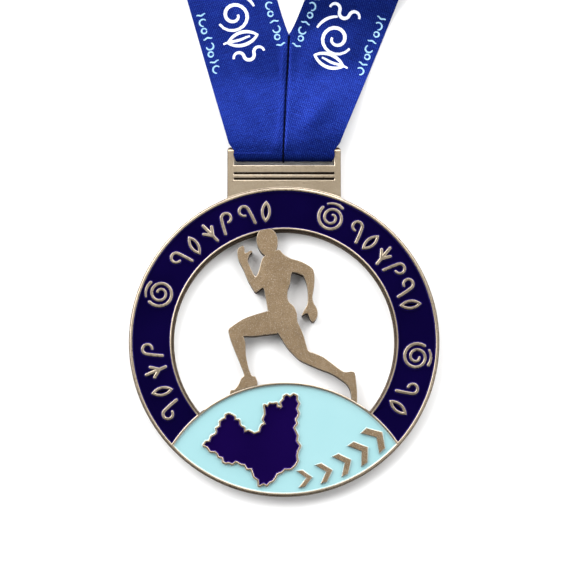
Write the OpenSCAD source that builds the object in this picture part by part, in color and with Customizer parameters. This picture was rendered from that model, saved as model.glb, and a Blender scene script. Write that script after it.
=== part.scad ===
// Finisher medal lying face up, on a neck ribbon folded into a flat hank.
// Origin: centre of the disc on its flat back. +X right, +Y to the ribbon, +Z out of the face.

/* [Disc] */
// Outside diameter of the disc
medal_d = 70; // [69:0.5:71]
// Thickness over the raised rims
medal_t = 3; // [2.8:0.1:3.4]
// Width of the outer rim
rim_w = 0.8; // [0.6:0.1:1]
// Diameter of the round cut-out behind the runner
hole_d = 49.8; // [49.4:0.1:50.2]
// Width of the low ledge round the cut-out
ledge_w = 0.35; // [0.3:0.05:0.4]
// Width of the raised rim round the cut-out
inner_rim_w = 0.5; // [0.4:0.05:0.6]
// Depth of the enamel recess below the rims
recess_depth = 0.7; // [0.5:0.1:0.9]
// How far the enamel surface lies below the rims
enamel_drop = 0.35; // [0.2:0.05:0.4]
// Depth of the shallow recess on the back
back_recess = 0.25; // [0.1:0.05:0.4]

/* [Hill] */
// Radius of the hill's edge
hill_r = 30.4; // [30:0.1:30.8]
// Height of the hilltop, measured from the disc's centre
hill_top = -9.4; // [-9.8:0.1:-9]
// Sideways place of the hilltop
hill_x = 0.3; // [0:0.1:0.6]
// Width of the raised line along the hill
hill_rim_w = 0.5; // [0.4:0.05:0.6]

/* [Ribbon loop of the disc] */
// Width of the loop plate
tab_w = 25.8; // [25:0.1:27]
// Width of the slot
slot_w = 22.8; // [22.6:0.1:23]
// Height of the slot's lower edge above the disc's centre
slot_low = 40.1; // [40:0.1:40.4]
// Height of the round bar above the disc's centre
bar_y = 43.3; // [43.2:0.1:43.6]
// Diameter of the round bar and thickness of the plate
bar_d = 2.2; // [2:0.1:2.2]

/* [Ribbon] */
// Width of the ribbon
ribbon_w = 20; // [19:0.5:21]
// Thickness of the ribbon
ribbon_t = 0.35; // [0.3:0.05:0.4]
// Width of the ribbon where it passes the slot
loop_w = 21.2; // [20:0.1:21.6]
// Lean of the left tail
left_lean = 16; // [14:1:18]
// Lean of the right tail
right_lean = 22; // [20:1:24]
// Length of the folded hank
hank_l = 72; // [66:1:80]
// Thickness of the folded hank
hank_t = 4.2; // [3.8:0.1:4.6]

/* [Hidden] */
$fn = 96;

medal_r = medal_d / 2;
field_r = medal_r - rim_w;
hole_r = hole_d / 2;
inner_rim_low = hole_r + ledge_w;
inner_rim_high = inner_rim_low + inner_rim_w;
floor_z = medal_t - recess_depth;
enamel_z = medal_t - enamel_drop;
ledge_z = medal_t * 0.7;
edge_chamfer = 0.25;
hill_y = hill_top - hill_r;
through = 0.5;
enamel_gap = 0.01;

// --- outline helpers -------------------------------------------------------

// one point of a smooth curve between b and c, with a and d as neighbours
function curve_point(a, b, c, d, t, pull) =
    let (from = pull * (c - a), to = pull * (d - b))
    (2 * t ^ 3 - 3 * t ^ 2 + 1) * b + (t ^ 3 - 2 * t ^ 2 + t) * from
    + (3 * t ^ 2 - 2 * t ^ 3) * c + (t ^ 3 - t ^ 2) * to;

// closed smooth curve through a list of points
function smooth(p, steps = 3, pull = 0.4) =
    let (n = len(p))
    [for (i = [0 : n - 1], k = [0 : steps - 1])
        curve_point(p[(i + n - 1) % n], p[i], p[(i + 1) % n], p[(i + 2) % n], k / steps, pull)];

// the same closed line with small steps, like a coast
function coast(p, steps = 4, depth = 0.3) =
    let (n = len(p))
    [for (i = [0 : n - 1], k = [0 : steps - 1])
        let (a = p[i], b = p[(i + 1) % n], dir = (b - a) / norm(b - a), wave = i * steps + k)
        a + (b - a) * k / steps + depth * sin(wave * 139) * [-dir[1], dir[0]]
        + 0.4 * depth * cos(wave * 83) * dir];

function polar(r, angle) = r * [cos(angle), sin(angle)];

module ring(r_in, r_out) {
    difference() {
        circle(r = r_out);
        circle(r = r_in);
    }
}

// outline of a wire that follows a path; it narrows to the share `end` of its width, with round ends
function heading(p, i) = let (run = p[min(i + 1, len(p) - 1)] - p[max(i - 1, 0)]) run / norm(run);
function aside(p, i, h) = let (t = heading(p, i)) p[i] + h * [-t[1], t[0]];
function cap(p, i, h) =
    let (t = heading(p, i))
    [for (a = [45, 90, 135]) p[i] + h * (cos(a) * [-t[1], t[0]] + sin(a) * t)];
function wire(p, w, end = 1) =
    let (last = len(p) - 1, half = [for (i = [0 : last]) w / 2 * (1 + (end - 1) * i / last)])
    concat(
        [for (i = [0 : last]) aside(p, i, half[i])], cap(p, last, half[last]),
        [for (i = [last : -1 : 0]) aside(p, i, -half[i])], cap(p, 0, -half[0])
    );

function arc(centre, r, a, sweep, step = 18) =
    let (n = ceil(abs(sweep) / step)) [for (k = [0 : n]) centre + polar(r, a + sweep * k / n)];

// solid with the given side outline (Y, Z), spread along X
module across(points, w) {
    rotate([90, 0, 90]) linear_extrude(w, center = true) polygon(points);
}

// --- the disc in plan ------------------------------------------------------

module hill(inset = 0) {
    translate([hill_x, hill_y]) circle(r = hill_r - inset);
}

module navy_field() {
    difference() {
        ring(inner_rim_high, field_r);
        hill();
    }
}

module hill_field() {
    intersection() {
        circle(r = field_r);
        hill(hill_rim_w);
    }
}

// --- the runner ------------------------------------------------------------

// the outline starts at the nape and goes down the back
rear_arm = [
    [-1.3, 20.7], [-0.2, 19.7], [1.5, 18.7], [3.6, 18.1], [5.4, 17.2], [6.6, 16.2],
    [6.9, 14.2], [6.8, 12.4], [6.4, 9.9], [6.7, 8.5], [7.4, 7.3], [7.6, 6], [7.2, 4.9], [6.5, 4.2],
    [5.9, 4.7], [5.2, 6.2], [3.9, 5.6], [4.5, 6.9], [5.2, 8.2], [5.35, 9.8], [5.3, 11.4],
    [5, 13.1], [4.4, 14.6], [4, 14.9], [1.8, 15.5]
];
back_and_rear_leg = [
    [1.4, 13.2], [0.8, 11.3], [0.8, 9.6], [1.2, 8.7], [2.2, 7.8], [2.9, 6.2], [3, 4.5], [3.5, 3.3],
    [4.4, 1.2], [4.9, -0.6], [5.5, -2.3], [6.8, -2.8], [8.9, -3.7], [10.9, -5.2], [13.4, -7],
    [15, -6.9], [15.9, -7.2], [16.2, -9.4], [16.4, -11.7], [16.3, -14.2], [15.2, -14.2],
    [15.1, -12.6], [14.8, -11.1], [13.8, -9.6], [10.9, -7.6], [7.8, -6.4], [4.4, -4.9], [3.1, -4.1],
    [0.7, -1.6], [-1.3, 1.6], [-1.6, 1.6]
];
front_leg = [
    [-4.3, 1.3], [-6.7, 1], [-9.1, 1], [-9.1, 0.8], [-8.7, -0.5], [-8.6, -3.2], [-8, -6.1],
    [-7.3, -7.8], [-6.5, -8.1], [-6, -9.3], [-6.2, -10.6], [-8.6, -13], [-12, -13.6], [-12.2, -11.6],
    [-11.9, -11.1], [-11.2, -11], [-10.3, -9.9], [-9.6, -8.4], [-9, -7.8], [-9.8, -5.5],
    [-11, -2.6], [-12.1, 0.2], [-12.6, 2.2], [-12.2, 3], [-9.3, 4.9], [-6.7, 5.9], [-3.8, 6.7],
    [-3.7, 6.9]
];
front_arm = [
    [-4.3, 10.4], [-4.8, 12], [-6.3, 10.9], [-7, 11.6], [-8.2, 13.7], [-9.2, 16.1], [-10.3, 18.3],
    [-10.6, 19.7], [-10.4, 21], [-9.4, 21.6], [-9, 21.2], [-8.8, 19.9], [-7.6, 20.5], [-7.2, 20.2],
    [-7.9, 19.4], [-8.2, 18.2], [-7.9, 17.2], [-6.5, 14.5], [-5.7, 16], [-5.2, 17.9], [-4.5, 19.2]
];
head_at = [-3.8, 22.4];
head_lean = 8;

// egg shape, wider at the crown than at the chin
function egg(half_w, half_h) =
    [for (a = [0 : 12 : 348]) [half_w * cos(a) * (1 + 0.12 * sin(a)), half_h * sin(a)]];

module runner_outline() {
    difference() {
        intersection() {
            circle(r = inner_rim_high);
            offset(r = 0.1) offset(delta = -0.1) {
                polygon(smooth(concat(rear_arm, back_and_rear_leg, front_leg, front_arm)));
                translate(head_at) rotate(head_lean) polygon(egg(2.4, 3.3));
            }
        }
        hill();
    }
}

module runner_figure() {
    color([0.64, 0.56, 0.45]) linear_extrude(medal_t) runner_outline();
}

// --- raised work on the enamel fields --------------------------------------

wire_w = 0.74;
marks_r = (inner_rim_high + field_r) / 2;
scroll_at = [-69, 21, 97];
// first angle, last angle and number of small marks in each run, clockwise from the top
runs = [[-122, -94, 4], [-52, -8, 6], [33, 74, 6], [111, 120.5, 2]];
mark_lean = 10;

// large mark: a volute that winds in, with a short arc over its mouth
module scroll() {
    spiral = [for (a = [0 : 16 : 656]) polar(3.1 - 2.4 * a / 656, 150 + a)];
    polygon(wire(spiral, wire_w, 0.8));
    polygon(wire(arc([0, 0], 3.3, 62, 62), wire_w, 0.7));
}

// small marks: a fern tip, a leaf and a sprig
module fern() {
    polygon(wire(concat([[1.1, -2.3], [1.15, -0.5]], arc([0, 1.2], 1.1, 0, 260)), wire_w, 0.8));
}

module leaf() {
    difference() {
        intersection_for (side = [-1, 1]) translate([side * 2.2, 0]) circle(r = 3.35);
        intersection_for (side = [-1, 1]) translate([side * 2.2, 0]) circle(r = 2.7);
    }
}

module sprig() {
    polygon(wire([[0, -2.4], [0, 2.3]], wire_w));
    for (side = [-1, 1]) polygon(wire([[0, -0.9], [side * 1.25, 0.8]], wire_w));
}

module ring_ornament_plan() {
    for (angle = scroll_at) rotate(-angle) translate([0, marks_r]) scroll();
    for (run = runs, k = [0 : run[2] - 1]) {
        angle = run[0] + (run[1] - run[0]) * k / (run[2] - 1);
        rotate(-angle) translate([0, marks_r - 0.3]) rotate(k % 2 == 0 ? mark_lean : -mark_lean) {
            if (k % 4 == 0) fern();
            if (k % 4 == 1) leaf();
            if (k % 4 == 2) sprig();
            if (k % 4 == 3) mirror([1, 0]) fern();
        }
    }
}

module ring_ornament() {
    color([0.8, 0.74, 0.62]) translate([0, 0, floor_z]) linear_extrude(recess_depth) ring_ornament_plan();
}

// five arrow heads that grow along the rim
chevron_count = 5;
first_chevron = -82;
chevron_step = 8.6;

module chevron_plan() {
    for (k = [0 : chevron_count - 1]) {
        half = 1.9 + 0.3 * k;
        wide = 1.4 + 0.1 * k;
        rotate(first_chevron + chevron_step * k) translate([field_r - 1.1 - half, 0]) polygon([
            [-half, -1.4], [0, 0.6], [half, -1.4], [half, wide - 1.4], [0, wide + 0.6], [-half, wide - 1.4]
        ]);
    }
}

module pace_chevrons() {
    color([0.62, 0.52, 0.42]) translate([0, 0, floor_z]) linear_extrude(recess_depth) chevron_plan();
}

// an invented district: a low western lobe and a tall eastern one
region_corners = [
    [-18, -23.6], [-15.4, -21.2], [-14.2, -18.4], [-12.2, -16.4], [-10.4, -18.2], [-8.8, -20.4],
    [-6, -21], [-4.4, -18.6], [-4.2, -14.8], [-2.2, -14.2], [-0.8, -15.4], [0, -12.6], [2.8, -12.4],
    [3, -16.2], [2.2, -19.4], [3.2, -23.6], [2.4, -28.2], [-0.8, -29.2], [-3.4, -32], [-5.4, -32.2],
    [-7.4, -28.8], [-10.2, -27.2], [-13, -27.4], [-14.8, -25.4]
];
border_w = 0.42;

module region() {
    polygon(coast(region_corners));
}

module region_with_border() {
    offset(r = border_w, $fn = 16) region();
}

module region_border() {
    color([0.8, 0.74, 0.62]) translate([0, 0, floor_z]) linear_extrude(recess_depth) difference() {
        region_with_border();
        region();
    }
}

// --- enamel ----------------------------------------------------------------

// a field of enamel, just clear of the metal round it
module fill(height) {
    translate([0, 0, floor_z]) linear_extrude(height) offset(delta = -enamel_gap, $fn = 180) children();
}

module navy_enamel() {
    color([0.05, 0.03, 0.24]) fill(enamel_z - floor_z) difference() {
        navy_field();
        ring_ornament_plan();
    }
}

module cyan_enamel() {
    color([0.68, 0.93, 0.96]) fill(enamel_z - floor_z) difference() {
        hill_field();
        region_with_border();
        chevron_plan();
    }
}

module indigo_enamel() {
    color([0.11, 0.05, 0.36]) fill(enamel_z - floor_z) region();
}

// --- casting: disc, rims and ribbon loop -----------------------------------

bar_r = bar_d / 2;
// ribbon that wraps the bar, with a running gap, and just clears the surface under the medal
wrap_gap = 0.1;
wrap_in = bar_r + wrap_gap;
wrap_out = wrap_in + ribbon_t;
bar_z = wrap_out + 0.05;
tab_corner = 0.9;
groove_w = 0.45;
groove_depth = 0.55;
groove_at = [slot_low - 1.9, slot_low - 3.15];

// outer rim, with its edges broken
module outer_rim() {
    rotate_extrude() polygon([
        [field_r, 0], [medal_r - edge_chamfer, 0], [medal_r, edge_chamfer],
        [medal_r, medal_t - edge_chamfer], [medal_r - edge_chamfer, medal_t], [field_r, medal_t]
    ]);
}

module disc_body() {
    outer_rim();
    linear_extrude(medal_t) difference() {
        ring(inner_rim_low, inner_rim_high);
        hill();
    }
    linear_extrude(medal_t) intersection() {
        circle(r = field_r + rim_w / 3);
        difference() {
            hill();
            hill(hill_rim_w);
        }
    }
    linear_extrude(ledge_z) difference() {
        ring(hole_r, inner_rim_low + inner_rim_w / 3);
        hill();
    }
    translate([0, 0, back_recess]) linear_extrude(floor_z - back_recess) {
        difference() {
            ring(inner_rim_high - inner_rim_w / 3, field_r + rim_w / 3);
            hill(hill_rim_w / 3);
        }
        intersection() {
            circle(r = field_r + rim_w / 3);
            hill(hill_rim_w * 2 / 3);
        }
    }
}

module tab_plan() {
    top = bar_y + bar_r;
    translate([-tab_w / 2, 0]) square([tab_w, top - tab_corner]);
    translate([-tab_w / 2 + tab_corner, 0]) square([tab_w - 2 * tab_corner, top]);
    for (side = [-1, 1]) translate([side * (tab_w / 2 - tab_corner), top - tab_corner]) circle(r = tab_corner);
}

module ribbon_tab() {
    intersection() {
        difference() {
            union() {
                translate([-tab_w / 2, 0, bar_z - bar_r]) cube([tab_w, bar_y, bar_d]);
                translate([-tab_w / 2, bar_y, bar_z]) rotate([0, 90, 0]) cylinder(r = bar_r, h = tab_w);
            }
            difference() {
                translate([-slot_w / 2, slot_low, -through]) cube([slot_w, 10, medal_t + 2 * through]);
                translate([-tab_w / 2, bar_y, bar_z]) rotate([0, 90, 0]) cylinder(r = bar_r, h = tab_w);
            }
            for (y = groove_at) translate([-slot_w / 2, y - groove_w / 2, bar_z + bar_r - groove_depth])
                cube([slot_w, groove_w, medal_t]);
            translate([0, 0, -through]) cylinder(r = medal_r - rim_w / 3, h = medal_t + 2 * through);
        }
        translate([0, 0, -through]) linear_extrude(medal_t + 2 * through) tab_plan();
    }
}

module medal_casting() {
    color([0.76, 0.69, 0.57]) {
        difference() {
            union() {
                disc_body();
                ribbon_tab();
            }
            translate([0, 0, -through]) linear_extrude(medal_t + 2 * through) runner_outline();
        }
    }
}

// --- ribbon ----------------------------------------------------------------

// where the inner edges of the two tails meet, and the foot of the seam below it
vee = [1.1, 69.8];
seam_foot = [-0.2, bar_y];
flap_end = 58;
floor_reach = 63;
hank_y = 88;
hank_x = 2.2;
band_w = 7;
band_t = 0.3;
thread_t = 0.12;
// below this height the ribbon is gathered between the sides of the slot, which swing past it
throat_w = slot_w - 0.6;
throat_top = bar_y + 2.6;

// heights of the underside of each tail on its way from the bar to the hank
left_route = [[bar_y, bar_z + wrap_in], [flap_end, bar_z - wrap_in + 0.05], [floor_reach, 0], [hank_y - 6, 0],
    [hank_y, band_t]];
right_route = [[bar_y, bar_z + wrap_in], [flap_end, bar_z - wrap_in + 0.05], [floor_reach, 0],
    [hank_y - 10, 0], [hank_y, band_t + hank_t - ribbon_t]];

// band that follows a route, from `low` to `high` above it
function along(route, low, high) = concat(
    [for (p = route) [p[0], p[1] + low]],
    [for (i = [len(route) - 1 : -1 : 0]) [route[i][0], route[i][1] + high]]
);

// between the sides of the slot, and opening at 45 degrees above them
module throat() {
    half = throat_w / 2;
    polygon([
        [-half, bar_y - 5], [half, bar_y - 5], [half, throat_top], [half + 60, throat_top + 60],
        [-half - 60, throat_top + 60], [-half, throat_top]
    ]);
}

// plan of one tail; side is -1 for the left one and 1 for the right one
module tail_plan(side, lean) {
    inner = [side * sin(lean), cos(lean)];
    outer = vee + ribbon_w * [side * cos(lean), -sin(lean)];
    up = (hank_y + 10 - vee[1]) / cos(lean);
    down = (outer[1] - bar_y + 5) / cos(lean);
    polygon([seam_foot, vee, vee + up * inner, outer + up * inner, outer - down * inner, [seam_foot[0], bar_y - 5]]);
}

module tail(side, lean, route) {
    intersection() {
        across(along(route, 0, ribbon_t), 90);
        translate([0, 0, -through]) linear_extrude(medal_t + hank_t) intersection() {
            tail_plan(side, lean);
            throat();
        }
    }
}

module ribbon_left_tail() {
    color([0.08, 0.2, 0.68]) tail(-1, left_lean, left_route);
}

module ribbon_right_tail() {
    color([0.08, 0.2, 0.68]) tail(1, right_lean, right_route);
}

// the part of the ribbon that goes round the bar and back up behind it
module ribbon_loop() {
    color([0.06, 0.15, 0.55]) {
        translate([-loop_w / 2, bar_y, bar_z]) rotate([0, 90, 0]) intersection() {
            difference() {
                cylinder(r = wrap_out, h = loop_w);
                translate([0, 0, -through]) cylinder(r = wrap_in, h = loop_w + 2 * through);
            }
            translate([-wrap_out * 2, -wrap_out * 2, 0]) cube([wrap_out * 4, wrap_out * 2, loop_w]);
        }
        translate([-loop_w / 2, bar_y, bar_z - wrap_out]) cube([loop_w, flap_end - bar_y, ribbon_t]);
    }
}

// short threads laid across the seam between the two tails
module mitre_stitching() {
    stitch_pitch = 1.4;
    reach = vee - seam_foot;
    count = floor((norm(reach) - 3) / stitch_pitch);
    color([0.05, 0.1, 0.4]) intersection() {
        across(along(left_route, ribbon_t, ribbon_t + thread_t), 90);
        translate([0, 0, -through]) linear_extrude(medal_t + hank_t)
            for (k = [0 : count]) translate(seam_foot + reach * (2 + stitch_pitch * k) / norm(reach))
                rotate(k % 2 == 0 ? 25 : -25) square([1.3, 0.2], center = true);
    }
}

// row of threads that closes the loop behind the bar, sewn through both layers
module loop_stitching() {
    stitch_pitch = 1.5;
    count = 6;
    top = bar_z - wrap_in + ribbon_t + thread_t;
    color([0.05, 0.1, 0.4]) for (k = [-count : count])
        translate([k * stitch_pitch - 0.5, flap_end - 1.2, 0]) cube([1, 0.2, top + 0.25]);
}

module hank_section(grow) {
    half = hank_l / 2 - hank_t / 2;
    for (side = [-1, 1]) translate([side * half, 0]) circle(d = hank_t + 2 * grow);
    square([2 * half, hank_t + 2 * grow], center = true);
}

module ribbon_hank() {
    color([0.08, 0.2, 0.68]) translate([hank_x, hank_y + ribbon_w, band_t + hank_t / 2])
        rotate([90, 0, 0]) linear_extrude(ribbon_w) hank_section(0);
}

module hank_band() {
    color([0.9, 0.9, 0.88]) translate([hank_x - band_w / 2, hank_y - band_t, 0]) difference() {
        cube([band_w, ribbon_w + 2 * band_t, hank_t + 2 * band_t]);
        translate([-through, band_t, band_t]) cube([band_w + 2 * through, ribbon_w, hank_t]);
    }
}

medal_casting();
runner_figure();
ring_ornament();
region_border();
pace_chevrons();
navy_enamel();
cyan_enamel();
indigo_enamel();
ribbon_left_tail();
ribbon_right_tail();
ribbon_loop();
mitre_stitching();
loop_stitching();
ribbon_hank();
hank_band();
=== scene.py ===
# Finisher medal lying face up, with its neck ribbon folded into a hank.
import math

import bmesh
import bpy
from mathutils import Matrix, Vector


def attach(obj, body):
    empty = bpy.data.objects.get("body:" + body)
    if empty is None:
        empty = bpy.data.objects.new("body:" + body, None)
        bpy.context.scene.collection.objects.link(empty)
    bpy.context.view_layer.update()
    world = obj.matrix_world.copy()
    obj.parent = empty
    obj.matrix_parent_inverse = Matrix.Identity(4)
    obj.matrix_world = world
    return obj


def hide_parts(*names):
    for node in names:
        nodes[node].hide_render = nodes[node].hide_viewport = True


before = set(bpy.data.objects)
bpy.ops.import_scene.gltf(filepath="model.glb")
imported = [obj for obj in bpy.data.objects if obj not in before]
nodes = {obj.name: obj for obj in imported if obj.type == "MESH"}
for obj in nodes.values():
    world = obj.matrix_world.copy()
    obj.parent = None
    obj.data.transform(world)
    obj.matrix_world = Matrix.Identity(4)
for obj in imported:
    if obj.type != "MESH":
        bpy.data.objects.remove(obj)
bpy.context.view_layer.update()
mm = 0.001


# camera

cameraValues = {"target": (0.2, 12.8, 1.5), "elevation": 83.0, "distance": 500, "frameWidth": 129.1}


def makeCamera(v):
    bpy.ops.object.camera_add()
    camera = bpy.context.object
    camera.name = "mainCamera"
    tilt = math.radians(90 - v["elevation"])
    away = Vector((0, -math.sin(tilt), math.cos(tilt))) * v["distance"]
    camera.location = (Vector(v["target"]) + away) * mm
    camera.rotation_euler = (tilt, 0, 0)
    camera.data.sensor_width = 36
    camera.data.lens = 36 * v["distance"] / v["frameWidth"]
    camera.data.clip_start = 0.01
    bpy.context.scene.camera = camera


makeCamera(cameraValues)


# small helpers

def deselectAll():
    if bpy.context.object and bpy.context.object.mode != "OBJECT":
        bpy.ops.object.mode_set(mode="OBJECT")
    bpy.ops.object.select_all(action="DESELECT")


def pick(obj):
    deselectAll()
    obj.select_set(True)
    bpy.context.view_layer.objects.active = obj


def meshPiece(name, points, faces, uvs=None):
    data = bpy.data.meshes.new(name)
    data.from_pydata([[c * mm for c in p] for p in points], [], faces)
    if uvs:
        layer = data.uv_layers.new(name="clothMap")
        for loop in data.loops:
            layer.data[loop.index].uv = uvs[loop.vertex_index]
    obj = bpy.data.objects.new(name, data)
    bpy.context.scene.collection.objects.link(obj)
    return obj


# a copy of a CAD node with its loose triangles merged and its flat faces joined
def copyOfNode(nodeName, pieceName, merge=0.002):
    obj = bpy.data.objects.new(pieceName, nodes[nodeName].data.copy())
    bpy.context.scene.collection.objects.link(obj)
    pick(obj)
    obj.data.materials.clear()
    bpy.ops.mesh.customdata_custom_splitnormals_clear()
    bpy.ops.object.mode_set(mode="EDIT")
    bpy.ops.mesh.select_all(action="SELECT")
    bpy.ops.mesh.remove_doubles(threshold=merge * mm)
    bpy.ops.mesh.dissolve_limited(angle_limit=math.radians(0.4))
    bpy.ops.object.mode_set(mode="OBJECT")
    return obj


def applyModifier(obj, kind, **values):
    pick(obj)
    modifier = obj.modifiers.new(kind.title(), kind)
    for key, value in values.items():
        setattr(modifier, key, value)
    bpy.ops.object.modifier_apply(modifier=modifier.name)


# leaves the object in edit mode with only the faces that pass the test selected
def selectFaces(obj, test):
    pick(obj)
    bpy.ops.object.mode_set(mode="EDIT")
    bpy.ops.mesh.select_mode(type="FACE")
    bpy.ops.mesh.select_all(action="DESELECT")
    bm = bmesh.from_edit_mesh(obj.data)
    bm.normal_update()
    for face in bm.faces:
        if test(face):
            face.select_set(True)
    bmesh.update_edit_mesh(obj.data)


# smooth, but level faces stay flat
def smoothShade(obj, degrees=40):
    pick(obj)
    bpy.ops.object.shade_smooth_by_angle(angle=math.radians(degrees))
    for face in obj.data.polygons:
        if abs(face.normal.z) > 0.9995:
            face.use_smooth = False


def joinPieces(name, parts):
    pick(parts[0])
    for part in parts:
        part.select_set(True)
    bpy.ops.object.join()
    parts[0].name = name
    return parts[0]


# the piece rides on a body, and the CAD nodes that it stands for are hidden
def settle(obj, body, slot, *replaced):
    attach(obj, body)
    if replaced:
        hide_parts(*replaced)


# materials

def newGroup(name, inputs, outputs):
    group = bpy.data.node_groups.new(name, "ShaderNodeTree")
    for label, kind, value in inputs:
        socket = group.interface.new_socket(label, in_out="INPUT", socket_type="NodeSocket" + kind)
        if value is not None:
            socket.default_value = value
    for label, kind in outputs:
        group.interface.new_socket(label, in_out="OUTPUT", socket_type="NodeSocket" + kind)
    return group, group.nodes.new("NodeGroupInput"), group.nodes.new("NodeGroupOutput")


def node(tree, kind, inputs=None, **values):
    made = tree.nodes.new("ShaderNode" + kind)
    for key, value in values.items():
        setattr(made, key, value)
    for key, value in (inputs or {}).items():
        if isinstance(value, bpy.types.NodeSocket):
            tree.links.new(value, made.inputs[key])
        else:
            made.inputs[key].default_value = value
    return made


def mathNode(tree, operation, *values):
    made = node(tree, "Math", operation=operation)
    for i, value in enumerate(values):
        if isinstance(value, bpy.types.NodeSocket):
            tree.links.new(value, made.inputs[i])
        else:
            made.inputs[i].default_value = value
    return made.outputs[0]


def mixColour(tree, factor, a, b, blend="MIX"):
    made = node(tree, "Mix", data_type="RGBA", blend_type=blend)
    for index, value in ((0, factor), (6, a), (7, b)):
        if isinstance(value, bpy.types.NodeSocket):
            tree.links.new(value, made.inputs[index])
        else:
            made.inputs[index].default_value = value
    return made.outputs[2]


def spread(tree, value, low, high, toLow=0.0, toHigh=1.0):
    made = node(tree, "MapRange", {0: value, 1: low, 2: high, 3: toLow, 4: toHigh})
    return made.outputs[0]


# cast and plated metal: cloudy tone, fine grain, bright specks painted as glints, and grain pits darkened as
# painted shade
def makeMetalGrain():
    group, start, end = newGroup(
        "metalGrain",
        [("Vector", "Vector", None), ("Color", "Color", (0.6, 0.5, 0.4, 1)),
         ("Dark", "Color", (0.4, 0.3, 0.2, 1)), ("Grain", "Float", 3000.0), ("Specks", "Float", 0.3),
         ("Smooth", "Float", 0.2), ("Rough", "Float", 0.4)],
        [("Color", "Color"), ("Roughness", "Float"), ("Height", "Float")])
    given = start.outputs
    v = given["Vector"]
    cloud = node(group, "TexNoise", {"Vector": v, "Scale": 160.0, "Detail": 4.0, "Roughness": 0.6})
    grain = node(group, "TexNoise", {"Vector": v, "Scale": given["Grain"], "Detail": 3.0})
    speck = node(group, "TexVoronoi", {"Vector": v, "Scale": given["Grain"]})
    tone = mixColour(group, spread(group, cloud.outputs[0], 0.3, 0.7), given["Dark"], given["Color"])
    # painted glints: near-white specks; below them, painted shade darkens the grain's pits
    glint = spread(group, speck.outputs["Distance"], 0.3, 0.05)
    bright = mathNode(group, "MULTIPLY", glint, given["Specks"])
    tone = mixColour(group, bright, tone, (1, 0.97, 0.9, 1))
    hollow = spread(group, grain.outputs[0], 0.5, 0.32)
    shade = mathNode(group, "MULTIPLY", hollow, given["Specks"])
    tone = mixColour(group, shade, tone, (0.12, 0.08, 0.05, 1))
    rough = node(group, "MapRange", {0: grain.outputs[0], 1: 0.3, 2: 0.7,
                                     3: given["Smooth"], 4: given["Rough"]})
    height = mathNode(group, "ADD", grain.outputs[0], mathNode(group, "MULTIPLY", cloud.outputs[0], 0.4))
    group.links.new(tone, end.inputs["Color"])
    group.links.new(rough.outputs[0], end.inputs["Roughness"])
    group.links.new(height, end.inputs["Height"])
    return group


# soft enamel: slightly uneven colour, dust pits and a slow ripple from the oven
def makeEnamelFilm():
    group, start, end = newGroup(
        "enamelFilm",
        [("Vector", "Vector", None), ("Color", "Color", (0, 0, 0.1, 1)), ("Deep", "Color", (0, 0, 0.05, 1)),
         ("Rough", "Float", 0.1)],
        [("Color", "Color"), ("Roughness", "Float"), ("Height", "Float")])
    given = start.outputs
    v = given["Vector"]
    ripple = node(group, "TexNoise", {"Vector": v, "Scale": 90.0, "Detail": 1.5})
    pit = node(group, "TexVoronoi", {"Vector": v, "Scale": 420.0})
    fine = node(group, "TexNoise", {"Vector": v, "Scale": 1500.0, "Detail": 2.0})
    tone = mixColour(group, spread(group, ripple.outputs[0], 0.25, 0.75), given["Deep"], given["Color"])
    dust = spread(group, pit.outputs["Distance"], 0.07, 0.02)
    rough = mathNode(group, "MULTIPLY_ADD", fine.outputs[0], 0.06, given["Rough"])
    height = mathNode(group, "SUBTRACT", ripple.outputs[0], mathNode(group, "MULTIPLY", dust, 0.25))
    group.links.new(tone, end.inputs["Color"])
    group.links.new(rough, end.inputs["Roughness"])
    group.links.new(height, end.inputs["Height"])
    return group


# woven satin: fine diagonal twill, cross ribs and slubs, with the raised threads lighter as a painted sheen;
# the map is in centimetres of cloth
def makeSatinWeave():
    group, start, end = newGroup(
        "satinWeave",
        [("Vector", "Vector", None), ("Color", "Color", (0, 0.1, 0.5, 1)),
         ("Light", "Color", (0.1, 0.3, 0.8, 1)), ("Dark", "Color", (0, 0.05, 0.3, 1)),
         ("Threads", "Float", 20.0)],
        [("Color", "Color"), ("Roughness", "Float"), ("Height", "Float")])
    given = start.outputs
    v = given["Vector"]
    turn = node(group, "Mapping", {"Vector": v, "Rotation": (0, 0, math.radians(38))})
    wobble = node(group, "TexNoise", {"Vector": v, "Scale": 8.0, "Detail": 2.0})
    twill = node(group, "TexWave", {"Vector": turn.outputs[0], "Scale": given["Threads"], "Distortion": 1.6,
                                    "Detail": 2.0, "Detail Scale": 6.0}, bands_direction="X")
    rib = node(group, "TexWave", {"Vector": v, "Scale": given["Threads"], "Distortion": 0.3},
               bands_direction="Y")
    long = node(group, "Mapping", {"Vector": v, "Scale": (3, 60, 1)})
    slub = node(group, "TexNoise", {"Vector": long.outputs[0], "Scale": 1.0, "Detail": 3.0})
    fuzz = node(group, "TexNoise", {"Vector": v, "Scale": 48.0, "Detail": 2.0, "Roughness": 0.6})
    nap = spread(group, fuzz.outputs[0], 0.3, 0.7, 0, 0.64)
    height = mathNode(group, "MULTIPLY_ADD", twill.outputs["Fac"], 0.55, nap)
    height = mathNode(group, "MULTIPLY_ADD", rib.outputs["Fac"], 0.16, height)
    tone = mixColour(group, spread(group, slub.outputs[0], 0.3, 0.75), given["Dark"], given["Color"])
    # painted sheen: the raised threads are lighter
    tone = mixColour(group, spread(group, height, 0.75, 1.3, 0, 0.55), tone, given["Light"])
    patch = spread(group, wobble.outputs[0], 0.55, 0.8, 0, 0.2)
    tone = mixColour(group, patch, tone, given["Dark"])
    rough = spread(group, height, 0, 1.35, 0.46, 0.3)
    group.links.new(tone, end.inputs["Color"])
    group.links.new(rough, end.inputs["Roughness"])
    group.links.new(height, end.inputs["Height"])
    return group


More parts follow.
